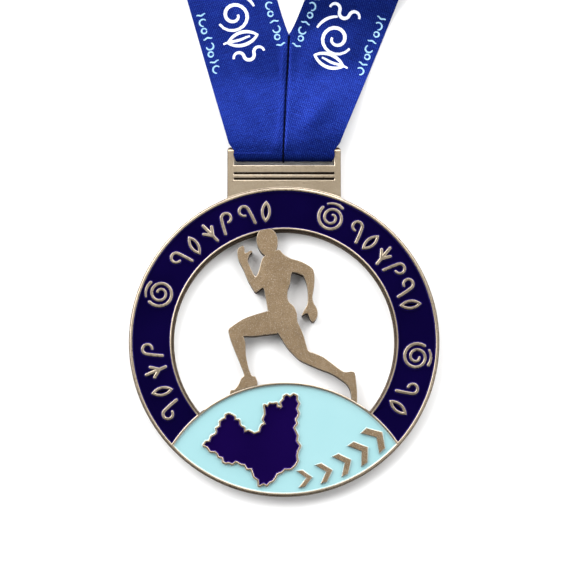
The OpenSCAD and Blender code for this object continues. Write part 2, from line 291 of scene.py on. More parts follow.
# fine flecks for ink, paper and thread
def makeFlecks():
    group, start, end = newGroup(
        "flecks",
        [("Vector", "Vector", None), ("Color", "Color", (1, 1, 1, 1)), ("Dark", "Color", (0.7, 0.7, 0.7, 1)),
         ("Scale", "Float", 1500.0)],
        [("Color", "Color"), ("Height", "Float")])
    given = start.outputs
    grain = node(group, "TexNoise", {"Vector": given["Vector"], "Scale": given["Scale"],
                                     "Detail": 5.0, "Roughness": 0.65})
    tone = mixColour(group, spread(group, grain.outputs[0], 0.35, 0.6), given["Dark"], given["Color"])
    group.links.new(tone, end.inputs["Color"])
    group.links.new(grain.outputs[0], end.inputs["Height"])
    return group


metalGrain = makeMetalGrain()
enamelFilm = makeEnamelFilm()
satinWeave = makeSatinWeave()
flecks = makeFlecks()


def newMaterial(name, group, groupInputs, shaderInputs, bump, mapName=None):
    material = bpy.data.materials.new(name)
    material.use_nodes = True
    tree = material.node_tree
    shader = tree.nodes["Principled BSDF"]
    if mapName:
        place = node(tree, "UVMap", uv_map=mapName).outputs[0]
    else:
        place = node(tree, "TexCoord").outputs["Object"]
    effect = node(tree, "Group", node_tree=group)
    tree.links.new(place, effect.inputs["Vector"])
    for key, value in groupInputs.items():
        effect.inputs[key].default_value = value
    tree.links.new(effect.outputs["Color"], shader.inputs["Base Color"])
    if "Roughness" in effect.outputs:
        tree.links.new(effect.outputs["Roughness"], shader.inputs["Roughness"])
    for key, value in shaderInputs.items():
        shader.inputs[key].default_value = value
    raised = node(tree, "Bump", {"Height": effect.outputs["Height"], "Strength": bump[0],
                                 "Distance": bump[1] * mm})
    tree.links.new(raised.outputs[0], shader.inputs["Normal"])
    return material


# bump is its strength and its depth in millimetres
metalValues = {
    "cast": {"Color": (0.47, 0.385, 0.278, 1), "Dark": (0.39, 0.31, 0.215, 1),
             "Grain": 2600.0, "Specks": 0.12, "Smooth": 0.34, "Rough": 0.48},
    "blasted": {"Color": (0.285, 0.208, 0.128, 1), "Dark": (0.225, 0.16, 0.095, 1),
                "Grain": 4200.0, "Specks": 0.5, "Smooth": 0.45, "Rough": 0.62},
    "bright": {"Color": (0.4, 0.34, 0.27, 1), "Dark": (0.32, 0.265, 0.2, 1),
               "Grain": 1500.0, "Specks": 0.05, "Smooth": 0.24, "Rough": 0.36},
    "mark": {"Color": (0.37, 0.31, 0.235, 1), "Dark": (0.28, 0.225, 0.165, 1),
             "Grain": 2200.0, "Specks": 0.1, "Smooth": 0.36, "Rough": 0.5},
    # dark metal that paints shade on walls and on edges turned away from the light
    "paintedShadeWall": {"Color": (0.1, 0.07, 0.046, 1), "Dark": (0.06, 0.04, 0.026, 1),
             "Grain": 2200.0, "Specks": 0.15, "Smooth": 0.55, "Rough": 0.75},
    # darkest metal: painted shade on the outer edges, patina with painted shade in the plate's grooves
    "patinaAndPaintedShade": {"Color": (0.07, 0.05, 0.035, 1), "Dark": (0.03, 0.02, 0.015, 1),
                  "Grain": 2200.0, "Specks": 0.1, "Smooth": 0.45, "Rough": 0.65},
}
metalBumps = {"cast": (0.25, 0.03), "blasted": (0.6, 0.03), "bright": (0.12, 0.02), "mark": (0.25, 0.02),
              "paintedShadeWall": (0.3, 0.02), "patinaAndPaintedShade": (0.3, 0.02)}
metals = {key: newMaterial(key + "Metal", metalGrain, value, {"Metallic": 1.0}, metalBumps[key])
          for key, value in metalValues.items()}

enamelValues = {
    "navy": {"Color": (0.0022, 0.0007, 0.024, 1), "Deep": (0.0014, 0.0004, 0.016, 1), "Rough": 0.06},
    # the lighter second colour of each enamel goes on the meniscus slope beside the metal: painted sheen,
    # for navy and indigo also the thinner enamel over the metal
    "navyEdge": {"Color": (0.013, 0.007, 0.09, 1), "Deep": (0.008, 0.004, 0.06, 1), "Rough": 0.06},
    "indigo": {"Color": (0.0053, 0.001, 0.039, 1), "Deep": (0.0038, 0.0006, 0.03, 1), "Rough": 0.06},
    "indigoEdge": {"Color": (0.04, 0.015, 0.16, 1), "Deep": (0.019, 0.006, 0.09, 1), "Rough": 0.06},
    "aqua": {"Color": (0.262, 0.445, 0.468, 1), "Deep": (0.242, 0.425, 0.448, 1), "Rough": 0.1},
    "aquaEdge": {"Color": (0.4, 0.53, 0.54, 1), "Deep": (0.34, 0.5, 0.51, 1), "Rough": 0.1},
}
enamelGloss = {"Coat Weight": 0.03, "Coat Roughness": 0.05, "Specular IOR Level": 0.1}
enamels = {key: newMaterial(key + "Enamel", enamelFilm, value, enamelGloss, (0.15, 0.12))
           for key, value in enamelValues.items()}

satinValues = {"Color": (0.005, 0.017, 0.18, 1), "Light": (0.03, 0.09, 0.46, 1),
               "Dark": (0.0012, 0.004, 0.07, 1), "Threads": 7.0}
satinGloss = {"Metallic": 0.6, "Specular IOR Level": 0.08, "Anisotropic": 0.3}
satinCloth = newMaterial("satinCloth", satinWeave, satinValues, satinGloss, (0.7, 0.06), "clothMap")

# colour, its darker flecks, their scale, the shader's settings, and the bump
plainValues = {
    "seamThread": ((0.006, 0.015, 0.1, 1), (0.002, 0.005, 0.04, 1), 5000.0,
                   {"Roughness": 0.7, "Specular IOR Level": 0.1}, (0.5, 0.03)),
    "seamShadow": ((0.0012, 0.002, 0.012, 1), (0.0006, 0.001, 0.006, 1), 5000.0,
                   {"Roughness": 0.9, "Specular IOR Level": 0.02}, (0.3, 0.03)),
    "whiteInk": ((0.72, 0.74, 0.8, 1), (0.45, 0.5, 0.66, 1), 2600.0, {"Roughness": 0.6}, (0.4, 0.02)),
    "aquaInk": ((0.3, 0.5, 0.64, 1), (0.14, 0.32, 0.56, 1), 2600.0, {"Roughness": 0.6}, (0.4, 0.02)),
    "bandPaper": ((0.42, 0.42, 0.4, 1), (0.35, 0.35, 0.33, 1), 900.0, {"Roughness": 0.85}, (0.3, 0.05)),
    "floorPaint": ((0.9, 0.9, 0.9, 1), (0.89, 0.89, 0.89, 1), 30.0, {"Roughness": 0.9}, (0.02, 0.1)),
}


def plainMaterial(name):
    colour, dark, scale, settings, bump = plainValues[name]
    return newMaterial(name, flecks, {"Color": colour, "Dark": dark, "Scale": scale}, settings, bump)


plain = {name: plainMaterial(name) for name in plainValues}
print("materials made")


# casting, runner and raised marks: each edge is broken and polished

edgeValues = {"casting": 0.15, "runner": 0.1, "marks": 0.16, "border": 0.1, "pace": 0.12}
castingValues = {
    "slots": {"cast": 0, "bright": 1, "paintedShadeWall": 2, "patinaAndPaintedShade": 3}, "merge": 0.05, "backTop": 1.0,
    "rimFrom": 34.7, "opening": (24.2, 25.4), "plate": (13.1, 30.0), "tab": (12.6, 34.5), "slotFrom": 42.0,
    "barFrom": 43.6,
}


def useMaterials(obj, *materials):
    obj.data.materials.clear()
    for material in materials:
        obj.data.materials.append(material)


def giveMaterial(obj, index, test):
    selectFaces(obj, test)
    obj.active_material_index = index
    bpy.ops.object.material_slot_assign()
    bpy.ops.object.mode_set(mode="OBJECT")


def makeCasting(v):
    obj = copyOfNode("medal_casting", "medalBody", v["merge"])
    slots = v["slots"]
    useMaterials(obj, *[metals[key] for key in slots])
    # painted shade: the walls get the dark metal
    giveMaterial(obj, slots["paintedShadeWall"], lambda face: abs(face.normal.z) < 0.3)
    applyModifier(obj, "BEVEL", width=edgeValues["casting"] * mm, segments=2, limit_method="ANGLE",
                  angle_limit=math.radians(32), material=slots["bright"], use_clamp_overlap=False)

    # the edges at the rim and the opening get the darkest metal, painted shade, so they are darker than the
    # lips beside the enamel
    def outside(face):
        c = face.calc_center_median() / mm
        r = math.hypot(c.x, c.y)
        atPlate = abs(c.x) < v["plate"][0] and c.y > v["plate"][1]
        atEdge = r > v["rimFrom"] or v["opening"][0] < r < v["opening"][1]
        return face.material_index == slots["bright"] and c.z > v["backTop"] and not atPlate and atEdge

    # painted shade: the dark metal also goes on the tab's outer edges and on the bar's faces turned to the
    # back, in place of their highlights
    def onTab(face):
        c = face.calc_center_median() / mm
        nearEdge = abs(c.x) > v["tab"][0] or c.y > v["slotFrom"]
        return face.material_index == slots["bright"] and c.y > v["tab"][1] and nearEdge

    def behindBar(face):
        return face.normal.y > 0.35 and face.calc_center_median().y > v["barFrom"] * mm

    giveMaterial(obj, slots["patinaAndPaintedShade"], outside)
    giveMaterial(obj, slots["paintedShadeWall"], onTab)
    giveMaterial(obj, slots["paintedShadeWall"], behindBar)
    smoothShade(obj, 42)
    settle(obj, "medal", "satin_metal", "medal_casting")
    return obj


breakSteps = ((0.35, 0.65), (0.65, 0.35))  # shares of the edge, inwards and up


# raised part of the casting: its walls get the dark metal of painted shade, its top edge is broken in two
# steps
def raisedPiece(nodeName, pieceName, edge, flat, slot, merge=0.002):
    obj = copyOfNode(nodeName, pieceName, merge)
    useMaterials(obj, metals[flat], metals["bright"], metals["paintedShadeWall"])
    giveMaterial(obj, 2, lambda face: abs(face.normal.z) < 0.3)
    selectFaces(obj, lambda face: face.normal.z > 0.9)
    bpy.ops.transform.translate(value=(0, 0, -edge * mm))
    for width, rise in breakSteps:
        bpy.ops.mesh.inset(thickness=edge * width * mm, depth=0, use_boundary=True)
        bpy.ops.transform.translate(value=(0, 0, edge * rise * mm))
    bpy.ops.object.mode_set(mode="OBJECT")
    giveMaterial(obj, 1, lambda face: 0.3 < face.normal.z < 0.97)
    smoothShade(obj, 42)
    settle(obj, "medal", slot, nodeName)
    return obj


casting = makeCasting(castingValues)
grooveValues = {"rows": (38.2, 36.95), "half": 0.27, "low": 2.0, "high": 2.62, "reach": 11.42}


# the two grooves of the plate get the darkest metal: patina in the hollow, and painted shade
def darkenGrooves(v):
    def inGroove(face):
        c = face.calc_center_median() / mm
        return (any(abs(c.y - row) < v["half"] for row in v["rows"]) and v["low"] < c.z < v["high"]
                and abs(c.x) < v["reach"])

    giveMaterial(casting, castingValues["slots"]["patinaAndPaintedShade"], inGroove)


darkenGrooves(grooveValues)
runner = raisedPiece("runner_figure", "runnerFigure", edgeValues["runner"], "blasted", "blasted_metal", 0.12)
ringMarks = raisedPiece("ring_ornament", "ringMarks", edgeValues["marks"], "mark", "polished_metal", 0.02)
district = raisedPiece("region_border", "districtOutline", edgeValues["border"], "blasted", "polished_metal",
                       0.02)
paceMarks = raisedPiece("pace_chevrons", "paceMarks", edgeValues["pace"], "blasted", "blasted_metal")
print("metal pieces made")


# enamel: the surface sinks away from the metal in a short curve

meniscusValues = {"steps": ((0.07, 0.09), (0.08, 0.05), (0.07, 0.0))}  # width and drop of each step


def enamelPiece(nodeName, pieceName, colour, slot):
    obj = copyOfNode(nodeName, pieceName)
    useMaterials(obj, enamels[colour], enamels[colour + "Edge"])
    selectFaces(obj, lambda face: face.normal.z > 0.9)
    for width, drop in meniscusValues["steps"]:
        bpy.ops.mesh.inset(thickness=width * mm, depth=0, use_boundary=True, use_even_offset=False)
        bpy.ops.transform.translate(value=(0, 0, -drop * mm))
    # the slope beside the metal gets the lighter colour: painted sheen
    bpy.ops.mesh.select_all(action="INVERT")
    obj.active_material_index = 1
    bpy.ops.object.material_slot_assign()
    bpy.ops.object.mode_set(mode="OBJECT")
    smoothShade(obj, 50)
    settle(obj, "medal", slot, nodeName)
    return obj


navy = enamelPiece("navy_enamel", "navyRing", "navy", "navy_enamel")
aqua = enamelPiece("cyan_enamel", "aquaHill", "aqua", "cyan_enamel")
indigo = enamelPiece("indigo_enamel", "indigoDistrict", "indigo", "indigo_enamel")
print("enamel made")


# ribbon: one strip, from the flap behind the bar, round it, up each tail and into the hank

# millimetres and degrees, but the flat length is in metres; -1 is the left half and 1 the right one
ribbonValues = {
    "width": 20.0, "thickness": 0.33, "flatLength": 0.77, "columns": 26,
    "barY": 43.3, "barZ": 1.6, "turnRadius": 1.375, "turnReach": 2.05, "turnEnd": 106.6, "turnSteps": 12,
    "flapEnd": 58.0, "flapHalf": 10.4, "flapSteps": 7, "turnWider": (0.6, 0.55), "turnMap": (-4.8, 4.1),
    "vee": (1.1, 69.8), "seamFoot": (-0.2, 43.3), "lean": {-1: 16.0, 1: 22.0}, "throat": 11.2,
    "throatTop": 43.6, "veeRound": (2.2, 2.0), "tailStart": 43.05, "tailEnd": 84.0, "closeRows": 50.0,
    "rowSteps": (0.5, 0.95),
    "hankY": 88.0, "hankLow": 0.3, "layerPitch": 0.38, "halfCloth": 0.175, "layers": 9, "meetLayer": 5,
    "meetX": 2.2, "hankEnds": {-1: -33.2, 1: 37.6}, "straightX": {-1: -5.0, 1: 12.0},
}
rv = ribbonValues


def tailFrame(side):
    lean = math.radians(rv["lean"][side])
    along = Vector((side * math.sin(lean), math.cos(lean)))
    outward = Vector((side * math.cos(lean), -math.sin(lean)))
    return Vector(rv["vee"]), along, outward


# x of the outer and the inner edge of a tail
def tailEdges(side, y):
    vee, _, outward = tailFrame(side)
    slope = math.tan(math.radians(rv["lean"][side]))
    ref = vee + rv["width"] * outward
    outer = ref.x + (y - ref.y) * side * slope
    room = rv["throat"] + 0.5 * (y - rv["throatTop"] + math.sqrt((y - rv["throatTop"]) ** 2 + 0.5))
    outer = side * min(abs(outer), room)
    if y >= vee.y:
        above = y - vee.y
        late, fade = rv["veeRound"]
        return outer, vee.x + max(0.0, above - late * math.exp(-above / fade)) * side * slope
    foot = rv["seamFoot"]
    return outer, foot[0] + (vee.x - foot[0]) * (y - foot[1]) / (vee.y - foot[1])


def ease(x):
    x = min(max(x, 0.0), 1.0)
    return x * x * (3 - 2 * x)


def swell(x):
    return math.exp(-x ** 2)


def layerHeight(k):
    return rv["hankLow"] + rv["layerPitch"] * k + rv["halfCloth"]


# the left tail starts below the hank's lowest layer, the right one above its highest
def firstLevel(side):
    return 0 if side < 0 else rv["layers"] + 1


# heights in millimetres; places are x or y, and a reach is how far a change takes
drapeValues = {
    "barTop": (42.714, 2.918), "rise": 0.2, "bend": 0.42, "bendReach": 1.2, "crownY": 45.2,
    "crownShift": (1.5, 9.0), "floor": 0.19, "floorReach": 0.17, "climbFrom": {-1: 80.0, 1: 71.5},
    "climbReach": {-1: 7.5, 1: 16.0}, "freeFrom": 46.0, "freeReach": 6.0, "belly": 0.2, "fold": 0.16,
    "ripple": 0.2, "roll": 0.5, "rollPlace": (9.0, 56.0), "rollReach": (6.0, 5.0), "seamFrom": 42.4,
    "ridge": {-1: 0.3, 1: 0.18}, "ridgeGap": 0.9, "broadFrom": 50.0, "valley": 0.15, "valleyReach": 0.36,
}


# middle of the cloth above the surface, on the way from the bar to the hank
def tailHeight(side, x, y):
    d = drapeValues
    # it rises a little from the bar, to a crown, before it falls to the floor
    crown = d["crownY"] + d["crownShift"][0] * ease(x / d["crownShift"][1])
    line = d["barTop"][1] + d["rise"] * (y - d["barTop"][0])
    line -= d["bend"] * d["bendReach"] * math.log(1 + math.exp((y - crown) / d["bendReach"]))
    soft = d["floorReach"]
    height = d["floor"] + soft * math.log(1 + math.exp((line - d["floor"]) / soft))
    climb = layerHeight(firstLevel(side)) - d["floor"]
    height += climb * ease((y - d["climbFrom"][side]) / d["climbReach"][side])
    outer, inner = tailEdges(side, y)
    across = (x - inner) / (outer - inner) if abs(outer - inner) > 1e-6 else 0
    belly = math.sin(math.pi * min(max(across, 0), 1))
    free = ease((y - d["freeFrom"]) / d["freeReach"]) * ease((rv["tailEnd"] - y) / d["freeReach"])
    if side > 0:
        place, reach = d["rollPlace"], d["rollReach"]
        height += d["roll"] * swell((x - place[0]) / reach[0]) * swell((y - place[1]) / reach[1])
    fold = math.sin(0.42 * y - 0.3 * side * x + side)
    ripple = math.sin(x * 0.4 - side * y * 0.21) ** 2
    height += free * (d["belly"] * belly + d["fold"] * belly * fold + d["ripple"] * ripple)
    seamTop = rv["vee"][1] + 1
    if y < seamTop:
        # the cloth rises beside the seam and dips into it
        gap = abs(x - inner)
        fade = ease((seamTop - y) / 4) * ease((y - d["seamFrom"]) / 2)
        broad = 0.6 + 0.7 * ease((d["broadFrom"] - y) / 6)
        ridge = d["ridge"][side]
        height += fade * ridge * swell((gap - d["ridgeGap"]) / broad)
        height -= fade * (ridge + d["valley"]) * swell(gap / d["valleyReach"])
    return height


# share of the way across, from the outer edge to the inner one, with close steps at the seam
def columnShares(length):
    near = [0.0, 0.18, 0.36, 0.6, 0.9, 1.3, 1.9]
    rest = rv["columns"] - len(near)
    far = [near[-1] + (length - near[-1]) * (k + 1) / rest for k in range(rest)]
    return [1 - g / length for g in reversed(near + far)]


# centimetres across and along the cloth
def clothMapAt(side, x, y):
    vee, along, outward = tailFrame(side)
    p = Vector((x, y)) - vee
    return ((rv["width"] - p.dot(outward)) * 0.1, p.dot(along) * 0.1)


# rows of (point, map) from the end of the flap to the foot of a tail
def flapAndTurn(side):
    rows = []
    footX, barY, turn = rv["seamFoot"][0], rv["barY"], rv["turnRadius"]
    mapStart, mapRun = rv["turnMap"]

    def flatRow(y, z, half, mapY):
        shares = columnShares(abs(side * half - footX))
        xs = [side * half + (footX - side * half) * s for s in shares]
        rows.append([((x, y, z), clothMapAt(side, x, mapY)) for x in xs])

    for k in range(rv["flapSteps"]):
        y = rv["flapEnd"] + (barY - rv["flapEnd"]) * k / rv["flapSteps"]
        flatRow(y, rv["barZ"] - turn, rv["flapHalf"], 2 * barY + mapStart + 0.5 - y)
    for k in range(rv["turnSteps"] + 1):
        share = k / rv["turnSteps"]
        angle = math.radians(270 - share * (270 - rv["turnEnd"]))
        half = rv["flapHalf"] + rv["turnWider"][0] * share + rv["turnWider"][1] * ease((share - 0.45) / 0.55)
        flatRow(barY + rv["turnReach"] * math.cos(angle), rv["barZ"] + turn * math.sin(angle), half,
                barY + mapStart + mapRun * share)
    return rows


def tailRows(side):
    rows = []
    y = rv["tailStart"]
    while y < rv["tailEnd"] + 0.01:
        outer, inner = tailEdges(side, y)
        xs = [outer + (inner - outer) * s for s in columnShares(abs(outer - inner))]
        rows.append([((x, y, tailHeight(side, x, y)), clothMapAt(side, x, y)) for x in xs])
        y += rv["rowSteps"][0] if y < rv["closeRows"] else rv["rowSteps"][1]
    return rows


# the tail turns into the hank over a slanting crease, then runs to and fro to the middle layer
def hankRows(side):
    rows = []
    vee, along, outward = tailFrame(side)
    end = rv["tailEnd"]
    centre = vee + rv["width"] / 2 * outward
    centre = centre + along * ((rv["hankY"] + rv["width"] / 2 - centre.y) / along.y)
    half = math.radians(rv["lean"][side]) / 2
    crease = Vector((-side * math.sin(math.pi / 4 - half), math.cos(math.pi / 4 - half)))
    beyond = Vector((side * crease.y, -side * crease.x))
    if beyond.dot(along) < 0:
        beyond = -beyond
    step = -side
    low = layerHeight(firstLevel(side))
    up = rv["layerPitch"] * step
    radius = abs(up) / 2
    quarter = math.pi * radius / 2

    def creasePoint(p):
        q = (p - centre).dot(beyond)
        base = p - beyond * q
        if q <= -quarter:
            return (p.x, p.y, tailHeight(side, p.x, p.y) if p.y < end else low)
        if q < quarter:
            angle = (q + quarter) / radius
            spot = base + beyond * (-quarter + radius * math.sin(angle))
            return (spot.x, spot.y, low + up / 2 * (1 - math.cos(angle)))
        spot = base - beyond * q
        return (spot.x, spot.y, low + up)

    outerEnd, innerEnd = [Vector((x, end)) for x in tailEdges(side, end)]
    reach = rv["width"] / 2 / abs(crease.dot(outward))
    outerCrease = centre + crease * (reach if crease.dot(outward) > 0 else -reach)
    innerCrease = centre - (outerCrease - centre)
    shares = columnShares(rv["width"] / math.cos(math.radians(rv["lean"][side])))

    def slantRow(a, b):
        row = []
        for s in shares:
            p = a + (b - a) * s
            x, y, z = creasePoint(p)
            if (p - centre).dot(beyond) <= -quarter and y >= end - 4:
                z = low + (tailHeight(side, x, end) - low) * ease((end + 3.5 - y) / 3.5)
            row.append(((x, y, z), clothMapAt(side, p.x, p.y)))
        rows.append(row)

    for k in range(1, 8):
        part = k / 8
        back = beyond * quarter * part
        slantRow(outerEnd + (outerCrease - outerEnd) * part - back,
                 innerEnd + (innerCrease - innerEnd) * part - back)
    for k in range(7):
        q = -quarter + 2 * quarter * k / 6
        slantRow(outerCrease + beyond * q, innerCrease + beyond * q)
    # from here x runs along the layers, and y across them
    direction = -side
    startOuter, startInner = [creasePoint(p + beyond * quarter)[0] for p in (outerCrease, innerCrease)]
    straightX = rv["straightX"][side]
    travelled = clothMapAt(side, centre.x, centre.y)[1] * 10
    level = firstLevel(side) + step
    margin = 0.04

    def hankRow(xa, xb, z, run, shift=0.0):
        row = []
        for s in shares:
            y = rv["hankY"] + shift + (margin + (rv["width"] - 2 * margin) * s)
            row.append(((xa + (xb - xa) * s, y, z), (s * 2.0, (travelled + run) * 0.1)))
        rows.append(row)

    run = 0.0
    for k in range(1, 5):
        run += 4.0
        hankRow(startOuter + (straightX - startOuter) * k / 4, startInner + (straightX - startInner) * k / 4,
                layerHeight(level), run)
    x = straightX
    turnR = rv["layerPitch"] / 2
    while True:
        atMeet = level == rv["meetLayer"]
        wander = 0.5 * math.sin(level * 2.4)
        goal = rv["meetX"] if atMeet else rv["hankEnds"][direction] - direction * wander
        count = max(3, int(abs(goal - x) / 7))
        first = x
        # the two halves share the row where they meet
        for k in range(1, count + (0 if atMeet and side > 0 else 1)):
            x = first + (goal - first) * k / count
            run += abs(goal - first) / count
            sag = 0.015 * math.sin(x * 0.21 + level)
            shift = 0.1 * math.sin(level * 1.7) * math.sin(k / count * math.pi)
            hankRow(x, x, layerHeight(level) + sag, run, shift)
        if atMeet:
            return rows
        for k in range(1, 6):
            angle = math.pi * k / 6
            run += turnR * math.pi / 6
            x = goal + direction * turnR * 1.4 * math.sin(angle)
            hankRow(x, x, layerHeight(level) + step * turnR * (1 - math.cos(angle)), run)
        x = goal
        level += step
        hankRow(x, x, layerHeight(level), run)
        direction = -direction


def makeRibbon():
    halves = []
    for side in (-1, 1):
        rows = flapAndTurn(side) + tailRows(side) + hankRows(side)
        points, maps, faces = [], [], []
        for row in rows:
            points += [p for p, m in row]
            maps += [m for p, m in row]
        n = len(rows[0])
        for r in range(len(rows) - 1):
            for c in range(n - 1):
                a, b = r * n + c, r * n + c + 1
                quad = (a, b, b + n, a + n)
                faces.append(quad if side < 0 else quad[::-1])
        halves.append(meshPiece("ribbonHalf", points, faces, maps))
    ribbon = joinPieces("neckRibbon", halves)
    bpy.ops.object.mode_set(mode="EDIT")
    bpy.ops.mesh.select_all(action="SELECT")
    bpy.ops.mesh.remove_doubles(threshold=0.012 * mm)
    bpy.ops.object.mode_set(mode="OBJECT")
    useMaterials(ribbon, satinCloth)
    applyModifier(ribbon, "SOLIDIFY", thickness=rv["thickness"] * mm, offset=0)
    smoothShade(ribbon, 60)
    settle(ribbon, "ribbon", "ribbon_satin", "ribbon_left_tail", "ribbon_right_tail", "ribbon_loop",
           "ribbon_hank")
    return ribbon


ribbon = makeRibbon()
print("ribbon made,", len(ribbon.data.polygons), "faces")


# print on the tails: brush strokes in white, small marks in pale blue

printValues = {"lift": 0.02, "thickness": 0.02, "markWidth": 0.38, "markPitch": 1.9, "marks": 8,
               "markLines": {-1: ((2.1, -2.2), (17.9, -0.6)), 1: ((2.1, -0.8), (17.9, -0.6))}}


# point on the face of a tail; s is measured from its outer edge, t from the foot of the vee
def tailPoint(side, s, t):
    vee, along, outward = tailFrame(side)
    p = vee + (rv["width"] - s) * outward + t * along
    return (p.x, p.y, tailHeight(side, p.x, p.y) + rv["thickness"] / 2 + printValues["lift"])


# part of a spiral that goes from one radius to another
def volutePath(centre, radius, inner, start, sweep, steps=26):
    path = []
    for k in range(steps + 1):
        r = radius + (inner - radius) * k / steps
        angle = math.radians(start + sweep * k / steps)
        path.append((centre[0] + r * math.cos(angle), centre[1] + r * math.sin(angle)))
    return path


def arcPath(centre, radius, start, sweep, steps=12):
    return volutePath(centre, radius, radius, start, sweep, steps)


# a stroke laid on a tail: narrow at both ends, with close cross steps
def layStroke(name, side, path, width, taper=0.45):
    points, faces = [], []
    last = len(path) - 1
    for k, p in enumerate(path):
        a, b = path[max(k - 1, 0)], path[min(k + 1, last)]
        run = math.hypot(b[0] - a[0], b[1] - a[1])
        nx, ny = -(b[1] - a[1]) / run, (b[0] - a[0]) / run
        half = width / 2 * (taper + (1 - taper) * math.sin(math.pi * (0.12 + 0.76 * k / last)))
        for c in (-1, -0.33, 0.33, 1):
            points.append(tailPoint(side, p[0] + nx * half * c, p[1] + ny * half * c))
    for k in range(last):
        for c in range(3):
            a = 4 * k + c
            faces.append((a, a + 1, a + 5, a + 4))
    return meshPiece(name, points, faces)


def finishPrint(name, parts, ink):
    obj = joinPieces(name, parts)
    bpy.ops.object.mode_set(mode="EDIT")
    bpy.ops.mesh.select_all(action="SELECT")
    bpy.ops.mesh.normals_make_consistent(inside=False)
    bpy.ops.object.mode_set(mode="OBJECT")
    useMaterials(obj, ink)
    applyModifier(obj, "SOLIDIFY", thickness=printValues["thickness"] * mm, offset=0)
    settle(obj, "ribbon", "ribbon_satin")
    return obj


def lineOf(*arcs):
    return [p for arc in arcs for p in arc]


# brush shapes round a point: a volute, a leaf with its vein, and a wave
def volute(s, t):
    return [(volutePath((s, t), 3.9, 0.9, 195, 520), 0.82), (arcPath((s, t), 5.1, 10, 62), 0.7)]


def brushLeaf(s, t):
    return [(arcPath((s, t - 3.4), 4.9, 138, -96), 0.78), (arcPath((s, t + 3.4), 4.9, -138, 96), 0.78),
            ([(s - 4.6 + 0.8 * i, t + 0.12 * math.sin(i)) for i in range(9)], 0.62)]


def brushWave(s, t):
    return [(lineOf(arcPath((s - 2.4, t), 1.2, 180, -180), arcPath((s, t), 1.2, 180, 180)[1:],
                    arcPath((s + 2.4, t), 1.2, 180, -180)[1:]), 0.78)]


# small marks near the selvedges: a bow, a bar and a ring by turns
def smallMark(k, s, t):
    if k % 3 == 0:
        return arcPath((s, t), 0.85, 30 + 150 * (k % 2), 230, 9)
    if k % 3 == 1:
        return [(s - 1.05 + 0.35 * i, t + 0.16 * math.sin(1.3 * i + k)) for i in range(7)]
    return arcPath((s - 0.3, t), 0.6, 0, 345, 12)


# each shape's place is measured as in tailPoint
brushPlaces = {
    -1: ((brushWave, 10.2, -0.9), (brushLeaf, 9.8, 3.1), (volute, 9.4, 8.9)),
    1: ((brushLeaf, 9.6, -1.2), (volute, 10.0, 4.2), (brushWave, 10.4, 10.4)),
}


def makePrints(v):
    white, pale = [], []
    for side, shapes in brushPlaces.items():
        for shape, s, t in shapes:
            white += [layStroke("stroke", side, path, width) for path, width in shape(s, t)]
        for s, first in v["markLines"][side]:
            for k in range(v["marks"]):
                path = smallMark(k + (s > rv["width"] / 2), s, first + v["markPitch"] * k)
                pale.append(layStroke("mark", side, path, v["markWidth"]))
    whitePrint = finishPrint("whitePrint", white, plain["whiteInk"])
    return whitePrint, finishPrint("palePrint", pale, plain["aquaInk"])


whitePrint, palePrint = makePrints(printValues)
print("prints laid")


# threads: modelled once, then copied along the seam and across the flap

threadValues = {
    "thickness": 0.14, "bow": 0.1, "seamPitch": 1.4, "seamLength": 0.7, "seamFrom": 2.0, "seamSlant": 25,
    "seamTilt": 0.16, "tiltEnd": 57.0, "flapPitch": 1.5, "flapLength": 1.15, "flapEach": 6, "flapInset": 1.1,
    "cord": 0.23, "cordStart": 195, "cordPast": 1.03, "cordRise": 0.12, "cordSteps": (9, 60),
}


def threadShape(length):
    deselectAll()
    bpy.ops.mesh.primitive_cylinder_add(vertices=8, radius=threadValues["thickness"] / 2 * mm,
                                        depth=length * mm, rotation=(0, math.pi / 2, 0))
    obj = bpy.context.object
    bpy.ops.object.transform_apply(location=True, rotation=True, scale=True)
    bpy.ops.object.mode_set(mode="EDIT")
    bpy.ops.mesh.select_all(action="SELECT")
    bpy.ops.mesh.subdivide(number_cuts=1)
    bpy.ops.object.mode_set(mode="OBJECT")
    for v in obj.data.vertices:
        out = abs(v.co.x) / (length * mm / 2)
        v.co.z -= threadValues["bow"] * mm * out ** 3
        v.co.y *= 1 - 0.4 * out ** 4
    return obj


def copyThread(source, point, turn):
    obj = source.copy()
    obj.data = source.data.copy()
    bpy.context.scene.collection.objects.link(obj)
    obj.location = [c * mm for c in point]
    obj.rotation_euler = turn
    return obj


# round cord through points, with closed ends
def cordMesh(name, path, radius, sides=8):
    points, faces = [], []
    for i, spot in enumerate(path):
        ahead = (Vector(path[min(i + 1, len(path) - 1)]) - Vector(path[max(i - 1, 0)])).normalized()
        up = Vector((1, 0, 0)).cross(ahead).normalized()
        for k in range(sides):
            angle = 2 * math.pi * k / sides
            outward = math.cos(angle) * ahead.cross(up) + math.sin(angle) * up
            points.append(tuple(Vector(spot) + radius * outward))
    for r in range(len(path) - 1):
        for k in range(sides):
            a, b = r * sides + k, r * sides + (k + 1) % sides
            faces.append((a, b, b + sides, a + sides))
    last = (len(path) - 1) * sides
    faces += [tuple(range(sides))[::-1], tuple(range(last, last + sides))]
    obj = meshPiece(name, points, faces)
    pick(obj)
    bpy.ops.object.mode_set(mode="EDIT")
    bpy.ops.mesh.select_all(action="SELECT")
    bpy.ops.mesh.normals_make_consistent(inside=False)
    bpy.ops.object.mode_set(mode="OBJECT")
    return obj


def finishThreads(name, source, copies, *replaced):
    bpy.data.objects.remove(source)
    obj = joinPieces(name, copies)
    bpy.ops.object.transform_apply(location=True, rotation=True, scale=True)
    smoothShade(obj, 60)
    settle(obj, "ribbon", "thread", *replaced)
    return obj


